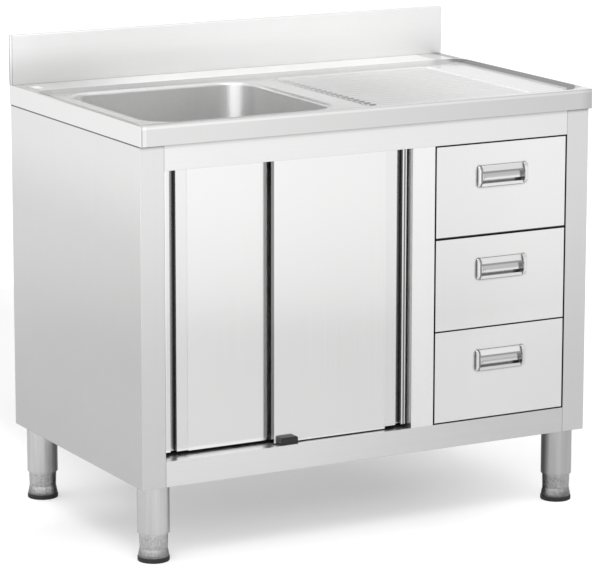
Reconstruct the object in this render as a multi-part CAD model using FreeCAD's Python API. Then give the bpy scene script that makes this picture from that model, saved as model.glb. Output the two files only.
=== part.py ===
"""Free-standing stainless steel sink cabinet: one bowl and a drainer over a
cupboard with two sliding doors and a column of three drawers.

Millimetres. X runs left to right, Y from the front to the wall, Z up.
The origin is on the floor, under the middle of the worktop.
"""
import FreeCAD, Part
import math
import os

# ------------------------------------------------------------ overall sizes
width = 1000.0                # worktop, left to right
depth = 600.0                 # worktop, front to wall
worktop_height = 850.0        # floor to the raised rim of the worktop
upstand_height = 100.0        # backsplash above the worktop
upstand_thickness = 16.0
apron = 40.0                  # height of the worktop's folded edge
leg_height = 150.0            # floor to the underside of the cabinet
side_inset = 2.0              # worktop overhang at each side
front_inset = 10.0            # worktop overhang at the front
sheet = 1.2                   # cabinet and worktop sheet
door_sheet = 1.0              # doors and drawer boxes
fold_radius = 1.5             # outer radius of the worktop's folds
running_gap = 0.3             # between pieces that slide past each other
door_end_gap = 1.0            # between a closed door and its stop

# ------------------------------------------------------------ worktop
rim_side = 4.0
rim_front = 8.0
ledge = 90.0                  # flat strip in front of the backsplash
recess_drop = 7.0             # deck below the rim
recess_run = 24.0             # width of the slope from rim to deck
recess_radius = 32.0
tray_from_left = 515.0        # drainer tray
tray_from_front = 45.0
tray_width = 382.0
tray_depth = 421.0
tray_drop = 3.0
tray_run = 5.0
tray_radius = 28.0
rib_width = 9.0
rib_rise = 1.6
rib_pitch = 22.0
rib_end_gap = 6.0             # from the tray's sloping edge to a rib
stiffener_width = 40.0
stiffener_height = 22.0
stiffener_inset = 16.0        # from the door track and the tray's edge
stiffener_spacing = 180.0

# ------------------------------------------------------------ bowl and waste
bowl_from_left = 57.0
bowl_from_front = 64.0
bowl_width = 400.0
bowl_length = 400.0
bowl_depth = 250.0
bowl_radius = 60.0
bowl_bottom_radius = 30.0
lip_radius = 6.0
lip_width = 8.0
dish_radius = 46.0            # sunk seat of the waste
dish_drop = 3.0
waste_hole_radius = 21.0
waste_flange_radius = 43.0
waste_flange_thickness = 2.0
waste_neck_radius = 20.0
waste_neck_bore = 17.0
waste_neck_length = 40.0
strainer_hole_radius = 2.2
strainer_ring_radii = (5.6, 11.2)
gasket_thickness = 3.0
gasket_radius = 36.0
waste_nut_thickness = 8.0
waste_nut_radius = 33.0
waste_tail_radius = 23.9      # 1 1/2 inch outlet thread
waste_tail_length = 55.0
thread_gap = 0.05

# ------------------------------------------------------------ cabinet frame
rail_height = 50.0
stile_width = 50.0
post_width = 50.0
frame_return = 12.0           # folded edge behind stiles and rails
track_shelf = 60.0            # bottom rail's top flange, floor of the doors
drawer_opening = 306.0
frame_tuck = 14.0             # worktop rim down to the top of the face frame
panel_flange = 20.0
rear_post_from_rear = 140.0
runner_post_depth = 40.0
runner_post_drop = 60.0       # worktop rim down to the top of the runner posts
divider_drop = 37.2           # worktop rim down to the top of the divider

# ------------------------------------------------------------ sliding doors
door_width = 297.5
door_thickness = 12.0
door_face_set_back = 16.0     # face frame to the face of the front door
door_lane_gap = 10.0          # between the front and the rear door
door_overlap_top = 15.0       # door behind the top rail
door_bottom_gap = 5.0
front_door_skirt = 3.0        # front door's skin below its pull
pull_bottom_gap = 6.5
lip_of_pull = 13.0            # rolled edge of the finger pull
lip_roll = 6.0
groove_of_pull = 13.0
flat_of_pull = 24.0
rear_door_from_side = 68.0    # worktop's left end to the rear door
hanger_half_width = 18.0
hanger_thickness = 2.0
hanger_from_end = 60.0
hanger_foot_half_depth = 5.0
axle_radius = 2.5
axle_bore_gap = 0.05
axle_head_radius = 5.0
axle_head_thickness = 1.2
axle_height = 24.3            # door top to the roller's axle
roller_radius = 11.0
roller_groove_radius = 8.0
roller_width = 6.0
roller_groove_width = 2.0
roller_side_gap = 0.4
track_height = 38.0
track_flange_rise = 6.0       # ledge to the top of the rail lip
guide_inside_door = 9.1       # closed front door's left edge to the guide's left end
guide_width = 37.4
guide_base = 1.2
guide_height = 14.5
guide_gap = 0.4
guide_front_wall = 11.0
guide_rear_wall = 5.0
guide_corner = 4.0
jamb_set_back = 2.0           # rear door's face to the jamb's face
jamb_flange = 20.0

# ------------------------------------------------------------ drawers
drawer_count = 3
front_gap = 3.0
front_thickness = 14.0
front_seat = 8.0              # front's turned-in edge against the box
box_depth = 500.0
box_height = 120.0
box_lift = 22.0               # front's lower edge to the box
runner_width = 13.0
runner_height = 45.0
runner_sheet = 1.2
runner_from_front = 2.0       # back of the drawer front to the runner
runner_rise = 60.0            # underside of the box to the runner's middle
handle_width = 112.0
handle_height = 41.5
handle_from_top = 44.0
handle_frame = 1.5
handle_cap = 7.0
handle_reach = 9.0            # how far the pull stands out
handle_shell = 1.5
hood_edge = -7.0              # lower edge of the hood, from the middle
hood_fold = 0.5               # fold of the hood, from the middle
hood_root = 19.0              # top of the hood, from the middle
pocket_depth = 10.0
pocket_side = 9.0             # frame's end to the pocket
pocket_top = 14.0
pocket_bottom = -15.0
pocket_wall = 1.0
pocket_fit = 0.3
sill_height = 6.0
sill_reach = 3.0
rivet_radius = 3.0
rivet_rise = 1.5
rivet_inset = 6.0

# ------------------------------------------------------------ legs
leg_from_side = 42.0
leg_from_front = 46.0
leg_from_rear = 42.0
leg_radius = 31.0
leg_wall = 1.5
leg_cap = 3.0
leg_plate_size = 100.0
leg_plate_thickness = 3.0
tube_end_height = 56.0
foot_collar_gap = 0.05
foot_radius = 28.0
foot_waist_radius = 27.0
foot_waist_height = 26.0
foot_flare_radius = 29.6
foot_flare_height = 13.0
foot_collar_bottom = 90.0
foot_collar_top = 100.0
foot_bore_radius = 22.0
foot_base_thickness = 5.0
pad_radius = 31.0
pad_thickness = 9.0
pad_round = 1.5

# ------------------------------------------------------------ planes
left = -width / 2
right = width / 2
front = -depth / 2
rear = depth / 2
top = worktop_height
deck = top - recess_drop
tray_floor = deck - tray_drop
cabinet_top = top - apron
frame_top = top - frame_tuck
under_top = top - sheet
side_left = left + side_inset
side_right = right - side_inset
face = front + front_inset
inner_left = side_left + sheet
inner_right = side_right - sheet
rear_face = rear - sheet
opening_bottom = leg_height + rail_height
opening_top = cabinet_top - rail_height
door_bay_left = side_left + stile_width
drawer_bay_right = side_right - stile_width
drawer_bay_left = drawer_bay_right - drawer_opening
post_left = drawer_bay_left - post_width
cabinet_floor = opening_bottom - sheet

bowl_x = (left + bowl_from_left, left + bowl_from_left + bowl_width)
bowl_y = (front + bowl_from_front, front + bowl_from_front + bowl_length)
bowl_floor = deck - bowl_depth
waste_x = sum(bowl_x) / 2
waste_y = sum(bowl_y) / 2
waste_seat = bowl_floor - dish_drop
gasket_top = waste_seat - sheet

front_door_plane = face + door_face_set_back
rear_door_plane = front_door_plane + door_thickness + door_lane_gap
door_top = opening_top + door_overlap_top
front_door_edge = post_left - door_end_gap
rear_door_edge = left + rear_door_from_side
pull_width = lip_of_pull + groove_of_pull + flat_of_pull
axle_z = door_top + axle_height
rail_lip_top = axle_z - roller_groove_radius - running_gap
ledge_top = rail_lip_top - track_flange_rise
track_rear = bowl_y[0] - sheet - guide_gap

front_height = (opening_top - opening_bottom - (drawer_count + 1) * front_gap) / drawer_count
front_left = drawer_bay_left + front_gap
front_right = drawer_bay_right - front_gap
front_back = face + front_thickness
box_left = drawer_bay_left + runner_width
box_right = drawer_bay_right - runner_width


# ------------------------------------------------------------ shape helpers
def block(x0, x1, y0, y1, z0, z1):
    """Box between two corners, given in any order."""
    low = FreeCAD.Vector(min(x0, x1), min(y0, y1), min(z0, z1))
    return Part.makeBox(abs(x1 - x0), abs(y1 - y0), abs(z1 - z0), low)


def join(solids):
    """Fuse solids into one and drop the seams between flush faces."""
    result = solids[0]
    for solid in solids[1:]:
        result = result.fuse(solid)
    return result.removeSplitter()


def outline(xs, ys, z, radius):
    """Rounded rectangle as a closed wire at one height."""
    x0, x1 = xs
    y0, y1 = ys
    half = radius * (1 - math.sqrt(0.5))
    edges = []
    corners = ((x1, y0, 1, -1), (x1, y1, 1, 1), (x0, y1, -1, 1), (x0, y0, -1, -1))
    starts = []
    for index, (x, y, sx, sy) in enumerate(corners):
        along_x = FreeCAD.Vector(x - sx * radius, y, z)
        along_y = FreeCAD.Vector(x, y - sy * radius, z)
        middle = FreeCAD.Vector(x - sx * half, y - sy * half, z)
        first, last = (along_x, along_y) if index % 2 == 0 else (along_y, along_x)
        starts.append((first, middle, last))
    for index, (first, middle, last) in enumerate(starts):
        edges.append(Part.Arc(first, middle, last).toShape())
        edges.append(Part.LineSegment(last, starts[(index + 1) % 4][0]).toShape())
    return Part.Wire(edges)


def grow(span, by):
    """Widen a pair of limits by the same amount at both ends."""
    return (span[0] - by, span[1] + by)


def rounded_prism(xs, ys, z0, z1, radius):
    """Upright prism on a rounded rectangle."""
    base = Part.Face(outline(xs, ys, z0, radius))
    return base.extrude(FreeCAD.Vector(0, 0, z1 - z0))


def funnel(xs, ys, z_top, z_low, radius, run):
    """Prism that narrows by run on its way down from z_top to z_low."""
    wires = [outline(xs, ys, z_top, radius), outline(grow(xs, -run), grow(ys, -run), z_low, radius - run)]
    return Part.makeLoft(wires, True, True)


def shift_down(shape, drop):
    moved = shape.copy()
    moved.translate(FreeCAD.Vector(0, 0, -drop))
    return moved


def rod_z(x, y, z0, z1, radius):
    return Part.makeCylinder(radius, z1 - z0, FreeCAD.Vector(x, y, z0), FreeCAD.Vector(0, 0, 1))


def rod_y(x, z, y0, y1, radius):
    low = FreeCAD.Vector(x, min(y0, y1), z)
    return Part.makeCylinder(radius, abs(y1 - y0), low, FreeCAD.Vector(0, 1, 0))


def ring_z(x, y, z0, z1, outer, inner):
    return rod_z(x, y, z0, z1, outer).cut(rod_z(x, y, z0, z1, inner))


def prism_along_x(points, x0, x1):
    """Extrude a closed (y, z) outline along X."""
    corners = [FreeCAD.Vector(x0, y, z) for y, z in points]
    face_of_prism = Part.Face(Part.makePolygon(corners + corners[:1]))
    return face_of_prism.extrude(FreeCAD.Vector(x1 - x0, 0, 0))


def fillet_at(shape, radius, chosen):
    """Round the edges whose bounding box satisfies chosen."""
    edges = [edge for edge in shape.Edges if chosen(edge.BoundBox)]
    return shape.makeFillet(radius, edges)


def flat_at(box, z, tolerance=1e-4):
    return abs(box.ZMin - z) < tolerance and abs(box.ZMax - z) < tolerance


def save(name, shape):
    os.makedirs("parts", exist_ok=True)
    shape.exportStep(os.path.join("parts", name + ".step"))


# ------------------------------------------------------------ worktop
def worktop():
    """Deck with a drainer tray and the bowl's cut-out, rear slope, ledge and rim.

    The deck, the slope up to the ledge, the ledge with its rear fold and the
    rim around them are four pieces, welded edge to edge.
    """
    body = block(left, right, front, rear, cabinet_top, top)
    body = fillet_at(body, fold_radius, lambda b: is_worktop_fold(b))
    recess_x = (left + rim_side, right - rim_side)
    recess_y = (front + rim_front, rear - upstand_thickness - ledge)
    recess = funnel(recess_x, recess_y, top, deck, recess_radius, recess_run)
    tray_x = (left + tray_from_left, left + tray_from_left + tray_width)
    tray_y = (front + tray_from_front, front + tray_from_front + tray_depth)
    tray = funnel(tray_x, tray_y, deck, tray_floor, tray_radius, tray_run)
    cavity = block(left + sheet, right - sheet, face - running_gap, rear - sheet, cabinet_top, under_top)
    turned_edge = block(left + sheet, right - sheet, front + sheet, face, cabinet_top + sheet, under_top)
    hollow = cavity.fuse(turned_edge)
    hollow = hollow.cut(shift_down(recess, sheet)).cut(shift_down(tray, sheet))
    hole = rounded_prism(grow(bowl_x, lip_width), grow(bowl_y, lip_width),
                         deck - apron, deck + recess_drop, bowl_radius + lip_width)
    body = body.cut(recess).cut(tray).cut(hollow).cut(hole)
    body = join([body] + drainer_ribs(tray_x, tray_y))
    deck_area = rounded_prism(grow(recess_x, -recess_run), grow(recess_y, -recess_run),
                              cabinet_top, top, recess_radius - recess_run)
    weld_x = (recess_x[0] + recess_radius, recess_x[1] - recess_radius)
    slope_area = block(*weld_x, recess_y[1] - recess_run, recess_y[1], cabinet_top, top)
    ledge_area = block(*weld_x, recess_y[1], rear, cabinet_top, top)
    around = body.cut(deck_area)
    rim = around.cut(slope_area).cut(ledge_area)
    return Part.makeCompound([body.common(deck_area), around.common(slope_area),
                              around.common(ledge_area), rim])


def is_worktop_fold(box):
    at_top = flat_at(box, top)
    at_front = box.YMax < front + fold_radius / 2
    at_side = box.XMax < left + fold_radius / 2 or box.XMin > right - fold_radius / 2
    upright = box.ZMax - box.ZMin > apron / 2
    return (at_top and (at_front or at_side)) or (upright and at_front)


def drainer_ribs(tray_x, tray_y):
    """Low domed ribs that lead the water to the bowl."""
    x0 = tray_x[0] + tray_run + rib_end_gap
    x1 = tray_x[1] - tray_run - rib_end_gap
    room = tray_y[1] - tray_y[0] - 2 * tray_radius
    count = int(room // rib_pitch) + 1
    first = sum(tray_y) / 2 - (count - 1) * rib_pitch / 2
    ribs = []
    for index in range(count):
        middle = first + index * rib_pitch
        start = FreeCAD.Vector(x0, middle - rib_width / 2, tray_floor)
        crown = FreeCAD.Vector(x0, middle, tray_floor + rib_rise)
        end = FreeCAD.Vector(x0, middle + rib_width / 2, tray_floor)
        edges = [Part.Arc(start, crown, end).toShape(), Part.LineSegment(end, start).toShape()]
        ribs.append(Part.Face(Part.Wire(edges)).extrude(FreeCAD.Vector(x1 - x0, 0, 0)))
    return ribs


def worktop_stiffeners():
    """Hat sections under the drainer tray."""
    z1 = tray_floor - sheet
    z0 = z1 - stiffener_height
    y0 = track_rear + stiffener_inset
    y1 = front + tray_from_front + tray_depth - stiffener_inset
    middle = left + tray_from_left + tray_width / 2
    hats = []
    for side in (-1, 1):
        x = middle + side * stiffener_spacing / 2
        x0 = x - stiffener_width / 2
        x1 = x + stiffener_width / 2
        outer = block(x0, x1, y0, y1, z0, z1)
        hats.append(outer.cut(block(x0 + sheet, x1 - sheet, y0, y1, z0, z1 - sheet)))
    return Part.makeCompound(hats)


def backsplash():
    """Hollow folded upstand along the wall side of the worktop."""
    y0 = rear - upstand_thickness
    body = block(left, right, y0, rear, top, top + upstand_height)
    body = fillet_at(body, fold_radius, lambda b: flat_at(b, top + upstand_height) and b.YMax < rear - sheet)
    inside = block(left + sheet, right - sheet, y0 + sheet, rear - sheet, top, top + upstand_height - sheet)
    return body.cut(inside)


# ------------------------------------------------------------ bowl and waste
def sink_bowl():
    """Deep-drawn bowl with a rounded lip that lies flush in the deck."""
    outer_floor = bowl_floor - sheet
    inside = rounded_prism(bowl_x, bowl_y, bowl_floor, deck, bowl_radius)
    inside = fillet_at(inside, bowl_bottom_radius, lambda b: flat_at(b, bowl_floor))
    outside = rounded_prism(grow(bowl_x, sheet), grow(bowl_y, sheet), outer_floor, deck, bowl_radius + sheet)
    outside = fillet_at(outside, bowl_bottom_radius + sheet, lambda b: flat_at(b, outer_floor))
    collar_low = deck - lip_radius - sheet
    collar_radius = bowl_radius + lip_width
    collar = rounded_prism(grow(bowl_x, lip_width), grow(bowl_y, lip_width), collar_low, deck, collar_radius)
    body = outside.fuse(collar).cut(inside).removeSplitter()
    body = fillet_at(body, lip_radius, lambda b: flat_at(b, deck) and is_inner_edge(b))
    body = body.cut(under_lip(collar_low))
    dish_low = waste_seat - sheet
    body = body.fuse(rod_z(waste_x, waste_y, dish_low, bowl_floor - sheet / 2, dish_radius + sheet))
    body = body.cut(rod_z(waste_x, waste_y, waste_seat, bowl_floor + sheet, dish_radius))
    return body.cut(rod_z(waste_x, waste_y, dish_low, waste_seat, waste_hole_radius))


def is_inner_edge(box):
    return box.XMin > bowl_x[0] - sheet / 2 and box.XMax < bowl_x[1] + sheet / 2 \
        and box.YMin > bowl_y[0] - sheet / 2 and box.YMax < bowl_y[1] + sheet / 2


def under_lip(collar_low):
    """Space under the lip, so that the lip keeps the sheet's thickness."""
    z1 = deck - sheet
    ring_radius = bowl_radius + lip_width
    ring = rounded_prism(grow(bowl_x, lip_width), grow(bowl_y, lip_width), collar_low, z1, ring_radius)
    core = rounded_prism(grow(bowl_x, sheet), grow(bowl_y, sheet), collar_low, z1, bowl_radius + sheet)
    ring = ring.cut(core)
    reach = 2 * sheet

    def on_core(box):
        inside_x = box.XMin > bowl_x[0] - reach and box.XMax < bowl_x[1] + reach
        inside_y = box.YMin > bowl_y[0] - reach and box.YMax < bowl_y[1] + reach
        return flat_at(box, z1) and inside_x and inside_y

    return fillet_at(ring, lip_radius - sheet, on_core)


def waste_flange():
    """Strainer flange in the bowl with its threaded neck."""
    z1 = waste_seat + waste_flange_thickness
    z_neck = waste_seat - waste_neck_length
    body = rod_z(waste_x, waste_y, waste_seat, z1, waste_flange_radius)
    body = body.fuse(ring_z(waste_x, waste_y, z_neck, waste_seat, waste_neck_radius, waste_neck_bore))
    holes = [rod_z(waste_x, waste_y, waste_seat, z1, strainer_hole_radius)]
    for ring_index, radius in enumerate(strainer_ring_radii):
        count = 6 * (ring_index + 1)
        for step in range(count):
            angle = 2 * math.pi * step / count
            x = waste_x + radius * math.cos(angle)
            y = waste_y + radius * math.sin(angle)
            holes.append(rod_z(x, y, waste_seat, z1, strainer_hole_radius))
    return body.cut(Part.makeCompound(holes)).removeSplitter()


def waste_gasket():
    return ring_z(waste_x, waste_y, gasket_top - gasket_thickness, gasket_top,
                  gasket_radius, waste_neck_radius + thread_gap)


def waste_nut():
    """Hexagonal back nut."""
    z1 = gasket_top - gasket_thickness
    z0 = z1 - waste_nut_thickness
    corners = []
    for step in range(7):
        angle = math.pi * step / 3
        corners.append(FreeCAD.Vector(waste_x + waste_nut_radius * math.cos(angle),
                                      waste_y + waste_nut_radius * math.sin(angle), z0))
    body = Part.Face(Part.makePolygon(corners)).extrude(FreeCAD.Vector(0, 0, z1 - z0))
    return body.cut(rod_z(waste_x, waste_y, z0, z1, waste_neck_radius + thread_gap))


def waste_tail():
    """Outlet sleeve screwed onto the neck; its outside takes the trap."""
    z1 = gasket_top - gasket_thickness - waste_nut_thickness
    bore = waste_neck_radius + thread_gap
    return ring_z(waste_x, waste_y, z1 - waste_tail_length, z1, waste_tail_radius, bore)


# ------------------------------------------------------------ cabinet
def side_panel(sign):
    outer = side_left if sign < 0 else side_right
    return block(outer, outer - sign * sheet, face + sheet, rear_face, leg_height, under_top)


def rear_panel():
    return block(inner_left, inner_right, rear_face - sheet, rear_face, leg_height, under_top)


def floor_panel():
    """Shelf of the cupboard, with its edges turned down."""
    y0 = face + frame_return
    y1 = rear_face - sheet
    z1 = cabinet_floor
    body = block(inner_left, inner_right, y0, y1, z1 - panel_flange, z1)
    inside = block(inner_left + sheet, inner_right - sheet, y0, y1 - sheet, z1 - panel_flange, z1 - sheet)
    return body.cut(inside)


def divider_panel():
    """Wall between the cupboard and the drawers."""
    return block(drawer_bay_left - sheet, drawer_bay_left, face + frame_return, rear_face - sheet,
                 opening_bottom, top - divider_drop)


def stile(sign):
    """Upright of the face frame: a front plate with a folded inner edge."""
    outer = side_left if sign < 0 else side_right
    inner = outer - sign * stile_width
    plate = block(outer, inner, face, face + sheet, leg_height, frame_top)
    fold = block(inner, inner + sign * sheet, face, face + frame_return, leg_height, frame_top)
    return join([plate, fold])


def centre_post():
    """Post between doors and drawers; the doors close against its left side."""
    plate = block(post_left, drawer_bay_left, face, face + sheet, opening_bottom, opening_top)
    deep_side = block(post_left, post_left + sheet, face, face + track_shelf, opening_bottom, opening_top)
    short_side = block(drawer_bay_left - sheet, drawer_bay_left, face, face + frame_return,
                       opening_bottom, opening_top)
    return join([plate, deep_side, short_side])


def top_rail():
    x0, x1 = door_bay_left, drawer_bay_right
    plate = block(x0, x1, face, face + sheet, opening_top, frame_top)
    lower = block(x0, x1, face, face + frame_return, opening_top, opening_top + sheet)
    upper = block(x0, x1, face, face + frame_return, frame_top - sheet, frame_top)
    return join([plate, lower, upper])


def bottom_rail():
    x0, x1 = door_bay_left, drawer_bay_right
    plate = block(x0, x1, face, face + sheet, leg_height, opening_bottom)
    shelf = block(x0, x1, face, face + track_shelf, opening_bottom - sheet, opening_bottom)
    lower = block(x0, x1, face, face + frame_return - 2 * sheet, leg_height, leg_height + sheet)
    return join([plate, shelf, lower])


def lane_middle(plane):
    return plane + door_thickness / 2


def rail_offset():
    """From a door's middle plane to the middle of its roller's groove."""
    return hanger_thickness / 4 + roller_side_gap + roller_width / 2


def door_track():
    """Double channel under the top, with an upturned rail lip for each door."""
    x0, x1 = door_bay_left, drawer_bay_left - sheet
    y0 = face + sheet
    y1 = track_rear
    z0 = ledge_top - sheet
    z1 = z0 + track_height
    between = rear_door_plane - door_lane_gap / 2
    solids = [block(x0, x1, y0, y1, z1 - sheet, z1),
              block(x0, x1, y1 - sheet, y1, z0, z1)]
    for web, plane in ((y0, front_door_plane), (between, rear_door_plane)):
        lip = lane_middle(plane) - rail_offset()
        solids.append(block(x0, x1, web, web + sheet, z0, z1))
        solids.append(block(x0, x1, web, lip + sheet / 2, z0, ledge_top))
        solids.append(block(x0, x1, lip - sheet / 2, lip + sheet / 2, z0, rail_lip_top))
    return join(solids)


def door_guide():
    """Block on the floor of the doors, with a slot for each of them."""
    x0 = front_door_edge - door_width + guide_inside_door
    x1 = x0 + guide_width
    y0 = front_door_plane - guide_gap - guide_front_wall
    y1 = rear_door_plane + door_thickness + guide_gap + guide_rear_wall
    z0 = opening_bottom
    z1 = z0 + guide_height
    body = block(x0, x1, y0, y1, z0, z1)
    body = fillet_at(body, guide_corner, lambda b: flat_at(b, z1) and b.YMax - b.YMin > guide_width / 2)
    for plane in (front_door_plane, rear_door_plane):
        body = body.cut(block(x0, x1, plane - guide_gap, plane + door_thickness + guide_gap,
                              z0 + guide_base, z1))
    return body


def door_jamb():
    """Upright that closes the strip between the side and the rear door."""
    y0 = rear_door_plane + jamb_set_back
    x1 = rear_door_edge - door_end_gap
    z1 = ledge_top - sheet
    plate = block(inner_left, x1, y0, y0 + sheet, opening_bottom, z1)
    fixing = block(inner_left, inner_left + sheet, y0, y0 + jamb_flange, opening_bottom, z1)
    return join([plate, fixing])


def runner_posts():
    """Upright channels on the right side that carry the drawer runners."""
    front_y = face + track_shelf
    rear_y = rear - rear_post_from_rear
    posts = []
    for y0 in (front_y, rear_y):
        y1 = y0 + runner_post_depth
        z1 = top - runner_post_drop
        outer = block(drawer_bay_right, inner_right, y0, y1, cabinet_floor, z1)
        posts.append(outer.cut(block(drawer_bay_right + sheet, inner_right, y0 + sheet, y1 - sheet,
                                     cabinet_floor, z1)))
    return Part.makeCompound(posts)


# ------------------------------------------------------------ doors
def door_pull(edge, inward, plane):
    """Finger pull along the closing edge: rolled lip, groove and flat."""
    t = door_sheet
    back = plane + door_thickness
    z0 = opening_bottom + pull_bottom_gap

    def part(s0, s1, y0, y1):
        return block(edge + inward * s0, edge + inward * s1, y0, y1, z0, door_top)

    def at_outer_edge(box):
        on_edge = abs(box.XMin - edge) < t / 4 and abs(box.XMax - edge) < t / 4
        return on_edge and box.YMax < plane + t / 4

    def at_inner_edge(box):
        inner = edge + inward * t
        on_edge = abs(box.XMin - inner) < t / 4 and abs(box.XMax - inner) < t / 4
        return on_edge and box.YMax < plane + 1.25 * t

    lip = fillet_at(part(0, lip_of_pull, plane, back), lip_roll, at_outer_edge)
    core = fillet_at(part(t, lip_of_pull - t, plane + t, back), lip_roll - t, at_inner_edge)
    groove_end = lip_of_pull + groove_of_pull
    floor_y = back - 2 * t
    trim = part(t, lip_of_pull, back - t, back)
    return join([lip.cut(core).cut(trim),
                 part(lip_of_pull - t, groove_end + t, floor_y, back - t),
                 part(groove_end, groove_end + t, plane, back - t),
                 part(groove_end, pull_width, plane, plane + t)])


def door_skin(edge, inward, plane, skirt):
    """Front pan of a door, from the pull to the far edge."""
    x0 = edge + inward * pull_width
    x1 = edge + inward * door_width
    z0 = opening_bottom + door_bottom_gap - skirt
    t = door_sheet
    pan = block(x0, x1, plane, plane + door_thickness, z0, door_top)
    return pan.cut(block(x0, x1 - inward * t, plane + t, plane + door_thickness, z0 + t, door_top - t))


def door_back(edge, inward, plane, skirt):
    """Back plate between the turned edges of the skin."""
    t = door_sheet
    y1 = plane + door_thickness
    z_pull = opening_bottom + pull_bottom_gap
    z_skin = opening_bottom + door_bottom_gap - skirt + t
    near = edge + inward * t
    seam = edge + inward * pull_width
    far = edge + inward * (door_width - t)
    return join([block(near, seam, y1 - t, y1, z_pull, door_top - t),
                 block(seam, far, y1 - t, y1, z_skin, door_top - t)])


def hanger_places(edge, inward):
    far = edge + inward * door_width
    return (edge + inward * hanger_from_end, far - inward * hanger_from_end)


def door_hangers(edge, inward, plane):
    """Two brackets on the door's top edge, each with a roller axle."""
    middle = lane_middle(plane)
    near = middle - hanger_thickness / 4
    far = near + hanger_thickness
    head = near - roller_width - 2 * roller_side_gap
    brackets = []
    for x in hanger_places(edge, inward):
        x0 = x - hanger_half_width
        x1 = x + hanger_half_width
        foot = block(x0, x1, middle - hanger_foot_half_depth, middle + hanger_foot_half_depth,
                     door_top, door_top + hanger_thickness)
        plate = block(x0, x1, near, far, door_top, axle_z + roller_radius)
        axle = rod_y(x, axle_z, far, head, axle_radius)
        cap = rod_y(x, axle_z, head, head - axle_head_thickness, axle_head_radius)
        brackets.append(join([foot, plate, axle, cap]))
    return Part.makeCompound(brackets)


def door_roller(x, plane):
    """Grooved roller that hangs on the track's rail lip."""
    middle = lane_middle(plane) - rail_offset()
    body = rod_y(x, axle_z, middle - roller_width / 2, middle + roller_width / 2, roller_radius)
    groove = rod_y(x, axle_z, middle - roller_groove_width / 2, middle + roller_groove_width / 2,
                   roller_radius)
    hub = rod_y(x, axle_z, middle - roller_groove_width / 2, middle + roller_groove_width / 2,
                roller_groove_radius)
    bore = rod_y(x, axle_z, middle - roller_width / 2, middle + roller_width / 2, axle_radius + axle_bore_gap)
    return body.cut(groove.cut(hub)).cut(bore)


def save_door(name, edge, inward, plane, skirt):
    save(name + "_pull", door_pull(edge, inward, plane))
    save(name + "_skin", door_skin(edge, inward, plane, skirt))
    save(name + "_back", door_back(edge, inward, plane, skirt))
    save(name + "_hangers", door_hangers(edge, inward, plane))
    left_x, right_x = sorted(hanger_places(edge, inward))
    save(name + "_roller_left", door_roller(left_x, plane))
    save(name + "_roller_right", door_roller(right_x, plane))


# ------------------------------------------------------------ drawers
def front_bottom(index):
    """Lower edge of a drawer front; drawer 1 is the top one."""
    row = drawer_count - index
    return opening_bottom + front_gap + row * (front_height + front_gap)


def handle_middle(index):
    return front_bottom(index) + front_height - handle_from_top - handle_height / 2


def pocket_span():
    middle = (front_left + front_right) / 2
    half = handle_width / 2 - pocket_side
    return (middle - half, middle + half)


def drawer_front(index):
    """Folded front pan, its edges turned in against the box."""
    z0 = front_bottom(index)
    z1 = z0 + front_height
    pan = block(front_left, front_right, face, front_back, z0, z1)
    pan = pan.cut(block(front_left + sheet, front_right - sheet, face + sheet, front_back - sheet,
                        z0 + sheet, z1 - sheet))
    pan = pan.cut(block(box_left + front_seat, box_right - front_seat, front_back - sheet, front_back,
                        z0 + box_lift + front_seat, z1 - frame_return))
    x0, x1 = grow(pocket_span(), pocket_wall + pocket_fit)
    z = handle_middle(index)
    return pan.cut(block(x0, x1, face, face + sheet, z + pocket_bottom - pocket_wall - pocket_fit,
                         z + pocket_top + pocket_wall + pocket_fit))


def drawer_box(index):
    """Open box behind the front."""
    t = door_sheet
    z0 = front_bottom(index) + box_lift
    z1 = z0 + box_height
    y1 = front_back + box_depth
    body = block(box_left, box_right, front_back, y1, z0, z1)
    return body.cut(block(box_left + t, box_right - t, front_back + t, y1 - t, z0 + t, z1))


def drawer_handle(index):
    """Flush pull: framed pocket under a hood between two end caps."""
    z = handle_middle(index)
    x0, x1 = pocket_span()
    frame_x = grow((x0, x1), pocket_side)
    inner_x = grow(frame_x, -handle_cap)
    half = handle_height / 2
    proud = face - handle_frame
    reach = face - handle_reach
    frame = block(frame_x[0], frame_x[1], proud, face, z - half, z + half)
    pocket = block(x0 - pocket_wall, x1 + pocket_wall, face, face + pocket_depth + pocket_wall,
                   z + pocket_bottom - pocket_wall, z + pocket_top + pocket_wall)
    hood = prism_along_x([(proud, z + hood_root), (reach, z + hood_fold), (reach, z + hood_edge),
                          (reach + handle_shell, z + hood_edge), (reach + handle_shell, z + hood_fold),
                          (proud, z + hood_root - handle_shell)], inner_x[0], inner_x[1])
    sill = block(inner_x[0], inner_x[1], proud - sill_reach, proud, z - half, z - half + sill_height)
    shoulder = handle_cap / 2
    cap_profile = [(proud, z + half), (reach + shoulder, z + half - handle_shell),
                   (reach, z + half - shoulder * 2), (reach, z - half + shoulder * 2),
                   (reach + shoulder, z - half + handle_shell), (proud, z - half)]
    solids = [frame, pocket, hood, sill]
    for start, end in ((frame_x[0], inner_x[0]), (inner_x[1], frame_x[1])):
        solids.append(prism_along_x(cap_profile, start, end))
    for x in (inner_x[0] + rivet_inset, inner_x[1] - rivet_inset):
        solids.append(rod_y(x, z + hood_edge / 2, reach - rivet_rise / 2, reach + handle_shell, rivet_radius))
    body = join(solids)
    return body.cut(block(x0, x1, proud, face + pocket_depth, z + pocket_bottom, z + pocket_top))


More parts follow.
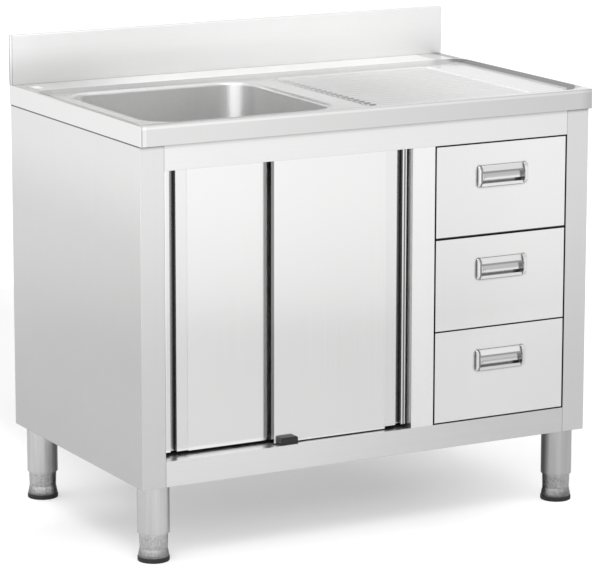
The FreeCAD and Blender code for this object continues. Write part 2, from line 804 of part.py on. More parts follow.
def runner_parts(index, wall, inward):
    """Fixed, middle and moving members of one telescopic runner, nested."""
    z = front_bottom(index) + box_lift + runner_rise
    y0 = front_back + runner_from_front
    y1 = front_back + box_depth
    t = runner_sheet
    half = runner_height / 2

    def channel(s_web, s_flange, height):
        web_end = s_web + (t if s_flange > s_web else -t)
        body = block(wall + inward * s_web, wall + inward * s_flange, y0, y1, z - height, z + height)
        return body.cut(block(wall + inward * web_end, wall + inward * s_flange, y0, y1,
                              z - height + t, z + height - t))

    middle_web = t + running_gap
    step = t + running_gap
    fixed = channel(0, runner_width - 2 * step, half)
    middle = channel(middle_web, runner_width - step, half - step)
    moving = channel(runner_width, middle_web + step, half - 2 * step)
    return fixed, middle, moving


def save_drawers():
    all_fixed = []
    for index in range(1, drawer_count + 1):
        name = "drawer_%d" % index
        pairs = [runner_parts(index, drawer_bay_left, 1), runner_parts(index, drawer_bay_right, -1)]
        all_fixed += [pair[0] for pair in pairs]
        save(name + "_front", drawer_front(index))
        save(name + "_box", drawer_box(index))
        save(name + "_handle", drawer_handle(index))
        save(name + "_runner_middle", Part.makeCompound([pair[1] for pair in pairs]))
        save(name + "_runner_moving", Part.makeCompound([pair[2] for pair in pairs]))
    save("drawer_runners_fixed", Part.makeCompound(all_fixed))


# ------------------------------------------------------------ legs
def leg_places():
    """Leg centres by name."""
    xs = {"left": left + leg_from_side, "right": right - leg_from_side}
    ys = {"front": front + leg_from_front, "rear": rear - leg_from_rear}
    return {y_name + "_" + x_name: (xs[x_name], ys[y_name]) for y_name in ys for x_name in xs}


def leg_plates():
    """Corner plates in the carcass that the legs are fixed to."""
    z0 = leg_height
    z1 = z0 + leg_plate_thickness
    y_front = face + frame_return
    y_rear = rear_face - sheet
    plates = []
    for x_wall, x_step in ((inner_left, 1), (inner_right, -1)):
        for y_wall, y_step in ((y_front, 1), (y_rear, -1)):
            plates.append(block(x_wall, x_wall + x_step * leg_plate_size,
                                y_wall, y_wall + y_step * leg_plate_size, z0, z1))
    return Part.makeCompound(plates)


def leg_tubes():
    tubes = []
    for x, y in leg_places().values():
        tube = rod_z(x, y, tube_end_height, leg_height, leg_radius)
        tubes.append(tube.cut(rod_z(x, y, tube_end_height, leg_height - leg_cap, leg_radius - leg_wall)))
    return Part.makeCompound(tubes)


def foot_insert(x, y):
    """Screwed foot: collar in the tube, waist and flared base."""
    collar = leg_radius - leg_wall - foot_collar_gap
    z0 = pad_thickness
    points = [(0, z0), (foot_flare_radius, z0), (foot_flare_radius, foot_flare_height),
              (foot_waist_radius, foot_waist_height), (foot_radius, tube_end_height),
              (foot_radius, foot_collar_bottom), (collar, foot_collar_bottom), (collar, foot_collar_top),
              (foot_bore_radius, foot_collar_top), (foot_bore_radius, z0 + foot_base_thickness),
              (0, z0 + foot_base_thickness), (0, z0)]
    corners = [FreeCAD.Vector(x + radius, y, z) for radius, z in points]
    profile = Part.Face(Part.makePolygon(corners))
    return profile.revolve(FreeCAD.Vector(x, y, 0), FreeCAD.Vector(0, 0, 1), 360)


def foot_pad(x, y):
    pad = rod_z(x, y, 0, pad_thickness, pad_radius)
    return pad.makeFillet(pad_round, [edge for edge in pad.Edges if flat_at(edge.BoundBox, 0)
                                      or flat_at(edge.BoundBox, pad_thickness)])


# ------------------------------------------------------------ build
save("worktop", worktop())
save("worktop_stiffeners", worktop_stiffeners())
save("backsplash", backsplash())
save("sink_bowl", sink_bowl())
save("waste_flange", waste_flange())
save("waste_gasket", waste_gasket())
save("waste_nut", waste_nut())
save("waste_tail", waste_tail())
save("left_side_panel", side_panel(-1))
save("right_side_panel", side_panel(1))
save("rear_panel", rear_panel())
save("floor_panel", floor_panel())
save("divider_panel", divider_panel())
save("left_stile", stile(-1))
save("right_stile", stile(1))
save("centre_post", centre_post())
save("top_rail", top_rail())
save("bottom_rail", bottom_rail())
save("door_track", door_track())
save("door_guide", door_guide())
save("door_jamb", door_jamb())
save("runner_posts", runner_posts())
save_door("right_door", front_door_edge, -1, front_door_plane, front_door_skirt)
save_door("left_door", rear_door_edge, 1, rear_door_plane, 0)
save_drawers()
save("leg_plates", leg_plates())
save("leg_tubes", leg_tubes())
for leg_name, (leg_x, leg_y) in leg_places().items():
    save("foot_%s_insert" % leg_name, foot_insert(leg_x, leg_y))
    save("foot_%s_pad" % leg_name, foot_pad(leg_x, leg_y))
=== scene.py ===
"""Studio picture of the stainless steel sink cabinet, in the frame's metres."""

import math

import bpy
from mathutils import Matrix, Vector


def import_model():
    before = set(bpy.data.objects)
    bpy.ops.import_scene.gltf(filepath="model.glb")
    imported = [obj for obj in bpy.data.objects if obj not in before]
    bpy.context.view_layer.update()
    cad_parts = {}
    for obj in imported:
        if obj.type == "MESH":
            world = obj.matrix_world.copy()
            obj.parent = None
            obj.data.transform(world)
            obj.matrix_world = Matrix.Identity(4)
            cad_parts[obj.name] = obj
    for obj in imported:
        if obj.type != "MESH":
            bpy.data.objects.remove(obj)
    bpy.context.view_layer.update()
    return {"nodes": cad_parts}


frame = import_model()
nodes = frame["nodes"]

# Places on the solids that tones follow. A pair is the low and the high end.
DECK_X, DECK_Y, DECK_RADIUS = (-0.496, 0.496), (-0.266, 0.194), 0.032
TRAY_X, TRAY_Y, TRAY_RADIUS = (0.015, 0.397), (-0.255, 0.166), 0.028
LEDGE_X, LEDGE_FRONT = (-0.476, 0.436), (0.193, 0.196)
WORKTOP_TOP = 0.85
RIB_PITCH, FIRST_RIB_Y = 0.022, -0.255
STILE_INNER_EDGE = (0.4474, 0.4486)
DRAWER_PITCH, TOP_HANDLE_Z, HANDLE_X = 0.185667, 0.69225, 0.295
DRAWER_FRONT_X = (0.1457, 0.4443)

# Brushed steel: noise frequency along the marks, across them, and without a direction.
ALONG, ACROSS, NO_GRAIN = 4.0, 1500.0, 500.0
WARM_BLUE = 0.997  # the blue of steel, next to its red and green

# The camera, fitted to the photograph: pixels from its upper left corner, and radians.
PHOTO_WIDTH, PHOTO_HEIGHT = 600.0, 578.0
FOCAL_LENGTH, AXIS_X, AXIS_Y = 3308.5, 292.0, 235.9
CAMERA_PLACE = (-3.151, -5.7378, 1.8309)
CAMERA_YAW, CAMERA_PITCH, CAMERA_ROLL = 0.4998, 0.1939, 0.0010
SENSOR_WIDTH = 36.0  # mm


# ------------------------------------------------------------ node helpers
class Graph:
    """Short names for building one node tree."""

    def __init__(self, tree):
        self.tree = tree
        self.tree.nodes.clear()

    def add(self, kind, **inputs):
        """A new node. Keys name its inputs, or its properties after p_."""
        node = self.tree.nodes.new(kind)
        for key, value in inputs.items():
            if key.startswith("p_"):
                setattr(node, key[2:], value)
            else:
                self.feed(node.inputs[key.replace("_", " ")], value)
        return node

    def feed(self, socket, value):
        if isinstance(value, bpy.types.NodeSocket):
            self.tree.links.new(value, socket)
        else:
            socket.default_value = value

    def math(self, operation, a, b=0.0, c=0.0, clamp=False):
        node = self.add("ShaderNodeMath", p_operation=operation, p_use_clamp=clamp)
        for socket, value in zip(node.inputs, (a, b, c)):
            self.feed(socket, value)
        return node.outputs[0]

    def plus(self, a, b):
        return self.math("ADD", a, b)

    def minus(self, a, b):
        return self.math("SUBTRACT", a, b)

    def times(self, a, b):
        return self.math("MULTIPLY", a, b)

    def size(self, value):
        return self.math("ABSOLUTE", value)

    def inverse(self, mask):
        return self.minus(1.0, mask)

    def blend(self, mask, low, high):
        """low where the mask is 0 and high where it is 1."""
        return self.math("MULTIPLY_ADD", mask, high - low, low)

    def added(self, level, mask, amount, clamp=False):
        """level, plus amount where the mask is 1."""
        return self.math("MULTIPLY_ADD", mask, amount, level, clamp)

    def scaled(self, level, mask, factor):
        """level, times factor where the mask is 1."""
        return self.times(level, self.blend(mask, 1.0, factor))

    def varied(self, level, noise, amount, clamp=False):
        """level, moved up and down by a noise around 0.5."""
        return self.added(level, self.minus(noise, 0.5), amount, clamp)

    def span(self, value, low, high, out_low=0.0, out_high=1.0, kind="LINEAR"):
        """From out_low to out_high while the value goes from low to high."""
        node = self.add("ShaderNodeMapRange", p_interpolation_type=kind)
        for socket, number in zip(node.inputs, (value, low, high, out_low, out_high)):
            self.feed(socket, number)
        return node.outputs[0]

    def ease(self, value, low, high, out_low=0.0, out_high=1.0):
        """A span with soft ends."""
        return self.span(value, low, high, out_low, out_high, "SMOOTHSTEP")

    def band(self, value, low, high, soft):
        """1 between two values and 0 beyond them."""
        rise = self.ease(value, low - soft, low + soft)
        fall = self.ease(value, high - soft, high + soft, 1.0, 0.0)
        return self.times(rise, fall)

    def rounded_box(self, x, y, span_x, span_y, radius):
        """Distance outside a rounded rectangle, in metres, negative within it."""
        beyond = []
        for value, (low, high) in ((x, span_x), (y, span_y)):
            apart = self.size(self.minus(value, (low + high) / 2))
            beyond.append(self.minus(apart, (high - low) / 2 - radius))
        squares = [self.math("POWER", self.math("MAXIMUM", side, 0.0), 2.0) for side in beyond]
        outer = self.math("SQRT", self.plus(*squares))
        inner = self.math("MINIMUM", self.math("MAXIMUM", *beyond), 0.0)
        return self.minus(self.plus(outer, inner), radius)

    def noise(self, vector, scale, detail=2.0, roughness=0.5, distortion=0.0):
        node = self.add("ShaderNodeTexNoise", Vector=vector, Scale=scale, Detail=detail,
                        Roughness=roughness, Distortion=distortion)
        return node.outputs["Fac"]

    def stretch(self, vector, scale):
        return self.add("ShaderNodeMapping", Vector=vector, Scale=scale).outputs[0]

    def vector(self, operation, *values):
        node = self.add("ShaderNodeVectorMath", p_operation=operation)
        for socket, value in zip(node.inputs, values):
            self.feed(socket, value)
        return node

    def axes(self, vector):
        node = self.add("ShaderNodeSeparateXYZ", Vector=vector)
        return node.outputs["X"], node.outputs["Y"], node.outputs["Z"]

    def place(self):
        """The point on the object, in metres."""
        return self.add("ShaderNodeTexCoord").outputs["Object"]

    def facing(self):
        """The way that the bare face looks, as x, y and z."""
        return self.axes(self.add("ShaderNodeNewGeometry").outputs["True Normal"])

    def ramp(self, value, stops):
        node = self.add("ShaderNodeValToRGB", Fac=value)
        ramp = node.color_ramp
        while len(ramp.elements) < len(stops):
            ramp.elements.new(0.5)
        for element, (place, colour) in zip(ramp.elements, stops):
            element.position = place
            element.color = (*colour, 1.0)
        return node.outputs["Color"]


def new_material(name):
    material = bpy.data.materials.new(name)
    material.use_nodes = True
    return material, Graph(material.node_tree)


def new_object(name, data):
    made = bpy.data.objects.new(name, data)
    bpy.context.scene.collection.objects.link(made)
    return made


def grey(value):
    return (value, value, value)


# ------------------------------------------------------------ materials
def brushed(g, where, grain, share, detail, roughness):
    """Noise drawn out along the grain's axis, at a share of the finest frequency."""
    finest = [ALONG if axis == grain else ACROSS if grain else NO_GRAIN for axis in "xyz"]
    return g.noise(g.stretch(where, [value * share for value in finest]), 1.0, detail, roughness)


def steel(name, tone, roughness, grain, grain_depth=0.25, smudge=0.05, edge=0.0009, crevice=0.0,
          own=False, deep=0.2, shade=None, contrast=1.0, rim=0.03, dull=None, tilt=None):
    """Brushed stainless steel. grain is the axis that the brush marks follow.

    crevice is the reach of painted shade that darkens corners, gaps and folds,
    deep is its tone, and own keeps it to the piece's own folds. shade gives the
    tones of one piece, painted light and shade among them, dull its rougher
    parts, and rim is the tone that outer edges of radius edge gain: a small
    lift for wear, and painted dark outlines where it is below 0. tilt leans
    the surface upwards, where a pressed corner isn't upright.
    """
    material, g = new_material(name)
    where = g.place()
    fine = brushed(g, where, grain, 1.0, 3.0, 0.65)
    streak = brushed(g, where, grain, 0.22, 2.0, 0.5)
    marks = brushed(g, where, grain, 0.08, 1.0, 0.5)
    cloud = g.noise(where, 3.1, 4.0, 0.55, 0.4)
    film = g.noise(where, 14.0, 5.0, 0.6, 0.8)

    level = g.varied(tone, streak, 0.055 * contrast)
    level = g.varied(level, fine, 0.045 * contrast)
    level = g.varied(level, cloud, 0.04 * contrast)
    if shade:
        level = g.times(level, shade(g, where))
    # Painted shade: ambient occlusion darkens corners, gaps and folds within the crevice's reach.
    if crevice:
        corner = g.add("ShaderNodeAmbientOcclusion", p_samples=8, p_only_local=own,
                       Distance=crevice)
        level = g.times(level, g.ease(corner.outputs["AO"], 0.5, 0.92, deep, 1.0))

    # Outer edges: rim lifts them a little for wear, and where rim is below 0 it paints dark
    # outlines, a painted shade.
    rounded = g.add("ShaderNodeBevel", p_samples=4, Radius=edge).outputs[0]
    plain = g.add("ShaderNodeNewGeometry").outputs["Normal"]
    bend = g.vector("DOT_PRODUCT", rounded, plain).outputs["Value"]
    edge_wear_and_shade = g.span(bend, 0.995, 0.75)
    level = g.added(level, edge_wear_and_shade, rim)
    colour = g.add("ShaderNodeCombineColor", Red=level, Green=level,
                   Blue=g.times(level, WARM_BLUE))

    rough = g.varied(roughness, film, smudge * 2.0)
    rough = g.varied(rough, streak, 0.10 * contrast)
    rough = g.varied(rough, marks, 0.05 * contrast)
    if dull:
        rough = g.plus(rough, dull(g, where))
    rough = g.added(rough, edge_wear_and_shade, -0.05, clamp=True)

    height = g.plus(fine, g.times(streak, 0.6))
    normal = g.add("ShaderNodeBump", Strength=grain_depth, Distance=0.00006, Height=height,
                   Normal=rounded).outputs[0]
    if tilt:
        lean = g.add("ShaderNodeCombineXYZ", Z=tilt(g)).outputs[0]
        normal = g.vector("NORMALIZE", g.vector("ADD", normal, lean).outputs[0]).outputs[0]
    shader = g.add("ShaderNodeBsdfPrincipled", Base_Color=colour.outputs[0], Metallic=1.0,
                   Roughness=rough, Normal=normal)
    g.add("ShaderNodeOutputMaterial", Surface=shader.outputs[0])
    return material


def moulded(name, dark, light, roughness, scale, depth):
    """Moulded plastic or rubber with a fine grained skin."""
    material, g = new_material(name)
    where = g.place()
    skin = g.noise(where, scale, 4.0, 0.6)
    cloud = g.noise(where, 24.0, 3.0, 0.5)
    dust = g.noise(where, 90.0, 5.0, 0.7)
    mixed = g.plus(g.times(cloud, 0.6), g.times(dust, 0.4))
    colour = g.ramp(mixed, ((0.3, grey(dark)), (0.75, grey(light))))
    rough = g.varied(roughness, dust, 0.2, clamp=True)
    rounded = g.add("ShaderNodeBevel", p_samples=4, Radius=0.0006).outputs[0]
    normal = g.add("ShaderNodeBump", Strength=depth, Distance=0.0001, Height=skin,
                   Normal=rounded).outputs[0]
    shader = g.add("ShaderNodeBsdfPrincipled", Base_Color=colour, Roughness=rough, Normal=normal)
    g.add("ShaderNodeOutputMaterial", Surface=shader.outputs[0])
    return material


def pressed_corners(g):
    """The bowl's upright corners lean back where the press stretched them most."""
    x, y, _ = g.facing()
    diagonal = g.added(g.times(g.size(x), 0.60), g.size(y), 0.80)
    return g.ease(diagonal, 0.950, 1.0, 0.0, 0.20)


def on_ledge(g, x, y):
    return g.times(g.band(x, *LEDGE_X, 0.006), g.ease(y, *LEDGE_FRONT))


def worktop_tones(g, where):
    """Painted light and shade on the slope, the ledge, the pressed tray and the apron."""
    x, y, z = g.axes(where)
    _, facing_y, facing_z = g.facing()

    # Painted shade on the slope around the deck, and on a channel behind its right end where the
    # top is flat; the deck is painted lighter to the right.
    inset = g.rounded_box(x, y, DECK_X, DECK_Y, DECK_RADIUS)
    slope = g.times(g.band(inset, -0.023, 0.0, 0.002), g.ease(x, -0.36, 0.08, 0.32, 0.06))
    right_slope = g.times(g.band(inset, -0.017, 0.0, 0.001), g.span(x, 0.455, 0.470, 0.0, 0.47))
    level = g.minus(g.ease(x, 0.10, 0.36, 0.80, 0.94), g.plus(slope, right_slope))
    channel = g.times(g.band(x, 0.476, 0.495, 0.002), g.span(y, 0.18, 0.20))
    level = g.scaled(level, channel, 0.34)

    # Painted light and shade on the ledge: darker at both ends, a painted highlight spot at its
    # left end, and painted shade at the upstand's foot.
    left_half = g.ease(x, -0.42, -0.20, -0.10, 0.18)
    right_end = g.span(x, 0.10, 0.35, 0.0, -0.12)
    level = g.plus(level, g.times(on_ledge(g, x, y), g.plus(left_half, right_end)))
    spot = g.times(g.band(x, -0.480, -0.460, 0.004), g.band(y, 0.222, 0.254, 0.006))
    level = g.added(level, spot, 0.35)
    foot = g.times(g.ease(y, 0.276, 0.283), g.span(z, WORKTOP_TOP - 0.0010, WORKTOP_TOP - 0.0005))
    level = g.scaled(level, foot, 0.80)

    # Along the tray's front edge, a painted shade line and a painted highlight line; along its
    # left edge, a painted shade line with painted shadows of the rib ends.
    front = g.band(x, 0.03, 0.385, 0.006)
    level = g.scaled(level, g.times(front, g.band(y, -0.249, -0.242, 0.001)), 0.66)
    level = g.added(level, g.times(front, g.band(y, -0.240, -0.231, 0.001)), 0.14)
    left = g.band(y, -0.25, 0.156, 0.002)
    near = g.span(y, -0.22, 0.12, 1.0, 0.35)
    line = g.times(g.band(x, 0.020, 0.027, 0.001), g.times(left, near))
    level = g.scaled(level, line, 0.55)
    ribs = g.math("PINGPONG", g.minus(y, FIRST_RIB_Y), RIB_PITCH / 2)
    ends = g.times(g.span(ribs, 0.004, 0.007), g.times(g.band(x, 0.031, 0.046, 0.002), left))
    level = g.scaled(level, g.times(ends, near), 0.40)

    # The apron, all upright faces: painted shade darker to the right and at its right end, a
    # painted dark line and a painted highlight at the left corner, and a painted highlight along
    # the fold.
    apron = g.times(g.span(x, -0.30, 0.45, 0.775, 0.70), g.ease(x, 0.470, 0.498, 1.0, 0.82))
    apron = g.scaled(apron, g.band(x, -0.4995, -0.4975, 0.0005), 0.62)
    apron = g.scaled(apron, g.band(x, -0.4965, -0.4890, 0.001), 1.12)
    fold = g.times(g.span(facing_y, -0.9, -0.7, 1.0, 0.0), g.band(z, 0.8425, 0.8470, 0.0008))
    apron = g.scaled(apron, fold, 1.17)
    upright = g.span(facing_z, 0.3, 0.6, 1.0, 0.0)
    return g.added(g.times(level, g.inverse(upright)), upright, apron)


def worktop_dullness(g, where):
    """Satin ledge, brushed tray, and a duller wall at the tray's right."""
    x, y, _ = g.axes(where)
    tray = g.rounded_box(x, y, TRAY_X, TRAY_Y, TRAY_RADIUS)
    satin = g.times(on_ledge(g, x, y), 0.30)
    wall = g.times(g.band(x, 0.389, 0.399, 0.001), g.band(y, -0.25, 0.16, 0.005))
    satin = g.added(satin, wall, 0.45)
    return g.added(satin, g.span(tray, -0.008, 0.0, 1.0, 0.0), 0.14)


def upstand_tones(g, where):
    """Painted shade: darker towards its foot, most of all at the left, and at its ends."""
    x, y, z = g.axes(where)
    low = g.ease(z, 0.85, 0.935, 1.0, 0.0)
    level = g.inverse(g.times(low, g.ease(x, -0.5, 0.4, 0.31, 0.10)))
    end = g.math("GREATER_THAN", g.size(g.facing()[0]), 0.7)
    within_folds = g.inverse(g.band(y, 0.2865, 0.2965, 0.001))
    return g.scaled(level, g.times(end, within_folds), 0.45)


def turned_edges(g, where):
    """Painted shade on the folds that face sideways."""
    return g.ease(g.size(g.facing()[0]), 0.80, 0.98, 1.0, 0.22)


def pull_tones(g, where):
    """Dark reflections along the rolled edge of the front door's pull."""
    x = g.axes(where)[0]
    rolled = g.plus(g.band(x, 0.0812, 0.0848, 0.0006), g.band(x, 0.0864, 0.0902, 0.0006))
    return g.scaled(turned_edges(g, where), rolled, 0.20)


def frame_seams(g, where):
    """Welded joints between the stiles and the rails, ground flush."""
    seam = g.band(g.size(g.axes(where)[0]), *STILE_INNER_EDGE, 0.0004)
    return g.blend(seam, 1.0, 0.55)


def side_tones(g, where):
    """Painted shade under the worktop's fold, a painted darker middle and a painted lighter foot.
    """
    z = g.axes(where)[2]
    level = g.times(g.ease(z, 0.60, 0.78, 0.87, 1.0), g.ease(z, 0.25, 0.45, 1.08, 1.0))
    return g.scaled(level, g.span(z, 0.8065, 0.8075), 0.12)


def stile_tones(g, where):
    """Seams, painted shade under the worktop, and a painted darker lower half."""
    x, _, z = g.axes(where)
    lower = g.times(g.ease(z, 0.40, 0.75, 1.0, 0.0), g.span(x, -0.1, 0.1, 0.08, 0.02))
    level = g.times(frame_seams(g, where), g.inverse(lower))
    return g.scaled(level, g.span(z, 0.8070, 0.8080), 0.55)


def rail_tones(g, where):
    """Seams, and a painted darker right end on the bottom rail."""
    x, _, z = g.axes(where)
    low = g.math("LESS_THAN", z, 0.4)
    right = g.ease(x, -0.30, 0.40, 0.0, 0.16)
    return g.times(frame_seams(g, where), g.inverse(g.times(low, right)))


def above_handle(g, z):
    """Height above the middle of the handle on the same drawer front."""
    low, high = TOP_HANDLE_Z - DRAWER_PITCH / 2, TOP_HANDLE_Z + DRAWER_PITCH / 2
    return g.minus(g.math("WRAP", z, high, low), TOP_HANDLE_Z)


def drawer_tones(g, where):
    """Painted light: lighter to the right and on the low drawer, with painted shade on the
    turned-in edges above and beside the front.
    """
    x, _, z = g.axes(where)
    level = g.times(g.ease(x, 0.14, 0.42, 0.97, 1.04), g.span(z, 0.36, 0.42, 1.07, 1.0))
    above = g.band(above_handle(g, z), 0.0675, 0.0698, 0.0004)
    above = g.times(above, g.math("GREATER_THAN", z, 0.45))
    beside = g.inverse(g.band(x, *DRAWER_FRONT_X, 0.0003))
    return g.scaled(level, g.math("MAXIMUM", above, beside), 0.06)


def handle_tones(g, where):
    """Painted shade on the creases and the face of the folded hood and inside its pocket's ends,
    and a painted highlight on its outer left rim.
    """
    x, _, z = g.axes(where)
    across = g.minus(x, HANDLE_X)
    up = above_handle(g, z)
    inner = g.band(across, -0.047, 0.047, 0.001)
    crease = g.times(inner, g.band(up, 0.0055, 0.0095, 0.001))
    hood = g.times(inner, g.band(up, -0.0025, 0.0055, 0.001))
    level = g.times(g.blend(crease, 1.0, 0.42), g.blend(hood, 1.0, 0.68))
    corner = g.times(g.band(across, 0.037, 0.050, 0.002), g.band(up, -0.012, 0.006, 0.002))
    level = g.scaled(level, corner, 0.35)
    level = g.scaled(level, g.band(across, -0.058, -0.0530, 0.001), 1.10)
    return g.scaled(level, g.band(across, -0.0525, -0.0485, 0.001), 0.32)


def leg_tones(g, where):
    """Streaks that the brush leaves along the tubes, painted dark reflections down the sides that
    face the unit's underside, painted shade on the right-hand legs and at the foot's base, and
    pits in the rough cast foot.
    """
    x, y, z = g.axes(where)
    facing_x, facing_y, _ = g.facing()
    # Painted reflections: dark stripes down the tubes' sides.
    right = g.minus(g.times(facing_x, 0.878), g.times(facing_y, 0.478))
    at_left = g.span(x, -0.01, 0.01, 1.0, 0.0)
    at_rear = g.span(y, -0.01, 0.01)
    thin = g.times(g.ease(right, 0.955, 0.995, 0.0, 0.75), g.inverse(at_rear))
    wide = g.times(g.ease(right, 0.55, 0.90, 0.0, 0.72), at_rear)
    dark = g.times(g.plus(thin, wide), at_left)
    far = g.times(g.ease(right, -0.95, -0.55, 0.72, 0.0), g.inverse(at_left))
    far = g.times(far, g.inverse(at_rear))
    streak = g.noise(g.stretch(where, (110.0, 110.0, 3.0)), 1.0, 2.0, 0.6)
    level = g.minus(g.span(streak, 0.3, 0.7, 0.90, 1.05), g.plus(dark, far))
    level = g.times(level, g.blend(at_left, 0.84, 1.0))
    pits = g.span(g.noise(where, 210.0, 3.0, 0.7), 0.35, 0.65, 0.0, 0.28)
    level = g.minus(level, g.times(g.span(z, 0.050, 0.060, 1.0, 0.0), pits))
    return g.times(level, g.ease(z, 0.012, 0.034, 0.50, 1.0))


# The steel parts share one steel in lighter and darker tones, a painted light and shade; their
# roughness and grain differ.
worktop_steel = steel("worktop_steel", 0.98, 0.20, "x", 0.02, smudge=0.03, shade=worktop_tones,
                      dull=worktop_dullness, contrast=0.4, edge=0.0012, rim=-0.22)
upstand_steel = steel("upstand_steel", 0.99, 0.58, "x", 0.04, shade=upstand_tones, contrast=0.5,
                      edge=0.0014, rim=-0.30)
bowl_steel = steel("bowl_steel", 0.80, 0.38, "", 0.05, smudge=0.07, tilt=pressed_corners)
side_steel = steel("side_steel", 0.72, 0.33, "z", 0.05, crevice=0.014, contrast=0.5, edge=0.0014,
                   rim=-0.22, shade=side_tones)
panel_steel = steel("panel_steel", 0.80, 0.40, "x", 0.25)
stile_steel = steel("stile_steel", 0.80, 0.30, "z", 0.05, crevice=0.012, contrast=0.5,
                    shade=stile_tones)
post_steel = steel("post_steel", 0.99, 0.30, "z", 0.03, contrast=0.4)
rail_steel = steel("rail_steel", 0.90, 0.30, "x", 0.05, crevice=0.014, deep=0.5, contrast=0.5,
                   shade=rail_tones)
door_steel = steel("door_steel", 0.94, 0.14, "z", 0.03, smudge=0.02, shade=turned_edges,
                   contrast=0.5)
pull_steel = steel("pull_steel", 0.90, 0.16, "z", 0.03, smudge=0.02, crevice=0.012, own=True,
                   deep=0.05, shade=pull_tones, contrast=0.5)
drawer_steel = steel("drawer_steel", 0.94, 0.22, "z", 0.03, smudge=0.02, crevice=0.010, deep=0.06,
                     contrast=0.5, shade=drawer_tones)
box_steel = steel("box_steel", 0.80, 0.38, "y", 0.10, crevice=0.010, deep=0.5, contrast=0.7)
leg_steel = steel("leg_steel", 0.74, 0.24, "z", 0.05, contrast=0.6, shade=leg_tones)
fitting_steel = steel("fitting_steel", 0.60, 0.42, "", 0.3)
handle_chrome = steel("handle_chrome", 0.90, 0.18, "x", 0.05, smudge=0.03, edge=0.0007,
                      crevice=0.012, own=True, deep=0.26, shade=handle_tones)
waste_chrome = steel("waste_chrome", 0.72, 0.14, "", 0.05, smudge=0.03, edge=0.0006)
guide_plastic = moulded("guide_plastic", 0.006, 0.016, 0.42, 900.0, 0.35)
roller_plastic = moulded("roller_plastic", 0.60, 0.74, 0.38, 700.0, 0.2)
outlet_plastic = moulded("outlet_plastic", 0.58, 0.70, 0.40, 700.0, 0.2)
foot_rubber = moulded("foot_rubber", 0.012, 0.030, 0.62, 800.0, 0.5)
gasket_rubber = moulded("gasket_rubber", 0.014, 0.032, 0.60, 800.0, 0.5)

# Finishes by the node's name, and for the rest by the first of these words in it.
finish_by_name = {
    "worktop": worktop_steel, "worktop_stiffeners": panel_steel, "backsplash": upstand_steel,
    "sink_bowl": bowl_steel, "waste_flange": waste_chrome, "waste_gasket": gasket_rubber,
    "waste_nut": outlet_plastic, "waste_tail": outlet_plastic, "left_side_panel": side_steel,
    "right_side_panel": side_steel, "rear_panel": panel_steel, "floor_panel": panel_steel,
    "divider_panel": panel_steel, "left_stile": stile_steel, "right_stile": stile_steel,
    "centre_post": post_steel, "top_rail": rail_steel, "bottom_rail": rail_steel,
    "door_jamb": stile_steel, "door_track": fitting_steel, "runner_posts": fitting_steel,
    "drawer_runners_fixed": fitting_steel, "leg_plates": fitting_steel, "leg_tubes": leg_steel,
    "door_guide": guide_plastic,
}
finish_by_word = {
    "_roller_": roller_plastic, "_hangers": fitting_steel, "_runner_": fitting_steel,
    "_door_pull": pull_steel, "_door_": door_steel, "_handle": handle_chrome,
    "_box": box_steel, "drawer_": drawer_steel, "_insert": leg_steel, "_pad": foot_rubber,
}
for name, node in nodes.items():
    by_word = [finish for word, finish in finish_by_word.items() if word in name]
    node.data.materials.clear()
    node.data.materials.append(finish_by_name[name] if name in finish_by_name else by_word[0])


# ------------------------------------------------------------ floor, light, camera
def floor():
    """Pale floor. The camera sees it lit up to white, and less so in the unit's shadow, which
    painted light lifts in places.
    """
    half = 40.0
    mesh = bpy.data.meshes.new("floor")
    mesh.from_pydata([(-half, -half, 0), (half, -half, 0), (half, half, 0), (-half, half, 0)],
                     [], [(0, 1, 2, 3)])
    plane = new_object("floor", mesh)
    material, g = new_material("floor")
    where = g.place()
    x, y, _ = g.axes(where)
    path = g.add("ShaderNodeLightPath").outputs
    seen = path["Is Camera Ray"]

    level = g.added(g.varied(0.50, g.noise(where, 60.0, 3.0, 0.5), 0.01), seen, 0.17)
    colour = g.add("ShaderNodeCombineColor", Red=level, Green=level, Blue=level)
    matt = g.add("ShaderNodeBsdfDiffuse", Color=colour.outputs[0])

    shown = g.added(g.plus(seen, path["Is Transmission Ray"]), path["Is Glossy Ray"], 0.36)
    # Painted light and shade on the floor: for the camera, the emission lifts the unit's shadow
    # at the right, at the left rear and in front, and lowers it a little at the left.
    left_rear = g.times(g.ease(x, -0.42, -0.22, 0.17, 0.0), g.ease(y, 0.0, 0.2))
    before = g.ease(y, -0.24, 0.02, 0.08, 0.0)
    lighter = g.plus(g.ease(x, 0.12, 0.60, -0.05, 0.19), g.plus(left_rear, before))
    glow = g.add("ShaderNodeEmission", Strength=g.added(g.times(seen, lighter), shown, 0.33))
    shader = g.add("ShaderNodeAddShader")
    g.feed(shader.inputs[0], matt.outputs[0])
    g.feed(shader.inputs[1], glow.outputs[0])
    g.add("ShaderNodeOutputMaterial", Surface=shader.outputs[0])
    mesh.materials.append(material)


def world():
    """Even white light, a shade darker halfway up."""
    scene_world = bpy.data.worlds.new("studio")
    scene_world.use_nodes = True
    bpy.context.scene.world = scene_world
    g = Graph(scene_world.node_tree)
    up = g.axes(g.add("ShaderNodeTexCoord").outputs["Generated"])[2]
    colour = g.ramp(up, ((0.0, grey(1.0)), (0.45, grey(0.98)), (0.75, grey(0.96)),
                         (1.0, grey(1.0))))
    background = g.add("ShaderNodeBackground", Color=colour, Strength=1.0)
    g.add("ShaderNodeOutputWorld", Surface=background.outputs[0])


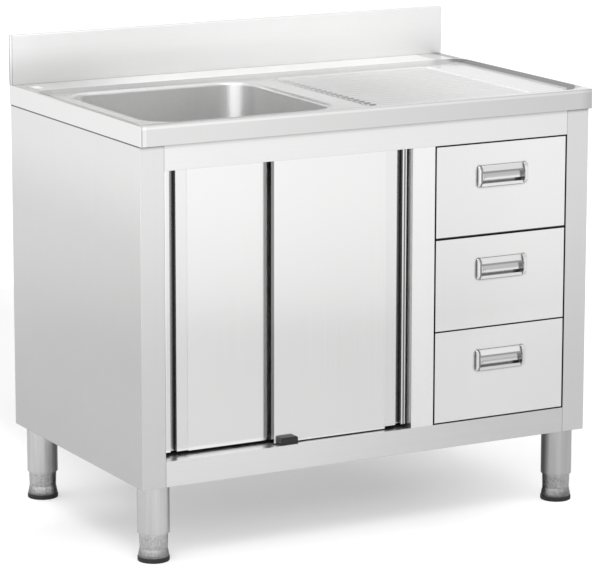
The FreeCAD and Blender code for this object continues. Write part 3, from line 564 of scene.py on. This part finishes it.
def light_wall():
    """Ring of soft light around the set, brightest at a third of its height."""
    radius, low, high, sides, rows = 2.2, 0.0, 2.6, 96, 12
    points = []
    faces = []
    for row in range(rows + 1):
        z = low + (high - low) * row / rows
        for side in range(sides):
            angle = 2 * math.pi * side / sides
            points.append((radius * math.cos(angle), radius * math.sin(angle), z))
    for row in range(rows):
        for side in range(sides):
            a = row * sides + side
            b = row * sides + (side + 1) % sides
            faces.append((a, b, b + sides, a + sides))
    mesh = bpy.data.meshes.new("light_wall")
    mesh.from_pydata(points, [], faces)
    wall = new_object("light_wall", mesh)

    material, g = new_material("light_wall")
    x, y, z = g.axes(g.place())
    glow = g.ramp(g.span(z, low, high), (
        (0.0, grey(0.84)), (0.12, grey(0.97)), (0.33, grey(1.0)), (0.5, grey(0.92)),
        (1.0, grey(0.70))))
    # Stronger at the left and the front, weaker high up at the rear, where the steel
    # mirrors it, except for a patch at the rear right.
    strength = g.added(1.0, x, -0.30 / radius)
    strength = g.added(strength, y, -0.10 / radius)
    weaker = g.times(g.ease(z, 1.30, 1.75), g.ease(y, 0.0, 1.4, 0.0, 0.55))
    patch = g.times(g.ease(x, 0.95, 1.40), g.ease(y, 0.6, 1.2))
    weaker = g.times(weaker, g.added(1.0, patch, -0.5))
    strength = g.added(g.times(strength, g.inverse(weaker)), patch, 0.26)
    shine = g.add("ShaderNodeEmission", Color=glow, Strength=strength)
    g.add("ShaderNodeOutputMaterial", Surface=shine.outputs[0])
    mesh.materials.append(material)
    wall.visible_camera = False
    wall.visible_shadow = False


def lamp(name, place, target, size, power):
    data = bpy.data.lights.new(name, "AREA")
    data.shape = "RECTANGLE"
    data.size, data.size_y = size
    data.energy = power
    light = new_object(name, data)
    light.location = place
    aim = Vector(target) - Vector(place)
    light.rotation_euler = aim.to_track_quat("-Z", "Y").to_euler()
    light.visible_camera = False


def camera():
    data = bpy.data.cameras.new("camera")
    data.sensor_fit = "HORIZONTAL"
    data.sensor_width = SENSOR_WIDTH
    data.lens = FOCAL_LENGTH * SENSOR_WIDTH / PHOTO_WIDTH
    data.shift_x = (PHOTO_WIDTH / 2 - AXIS_X) / PHOTO_WIDTH
    data.shift_y = (AXIS_Y - PHOTO_HEIGHT / 2) / PHOTO_WIDTH
    data.clip_end = 200.0
    level = math.cos(CAMERA_PITCH)
    forward = Vector((math.sin(CAMERA_YAW) * level, math.cos(CAMERA_YAW) * level,
                      -math.sin(CAMERA_PITCH)))
    turn = forward.to_track_quat("-Z", "Y").to_matrix() @ Matrix.Rotation(CAMERA_ROLL, 3, "Z")
    view = new_object("camera", data)
    view.matrix_world = Matrix.Translation(CAMERA_PLACE) @ turn.to_4x4()
    bpy.context.scene.camera = view


floor()
world()
light_wall()
lamp("key", (-1.3, -1.7, 3.2), (-0.1, -0.2, 0.5), (1.5, 1.5), 42.0)
camera()
bpy.context.scene.view_settings.view_transform = "Standard"
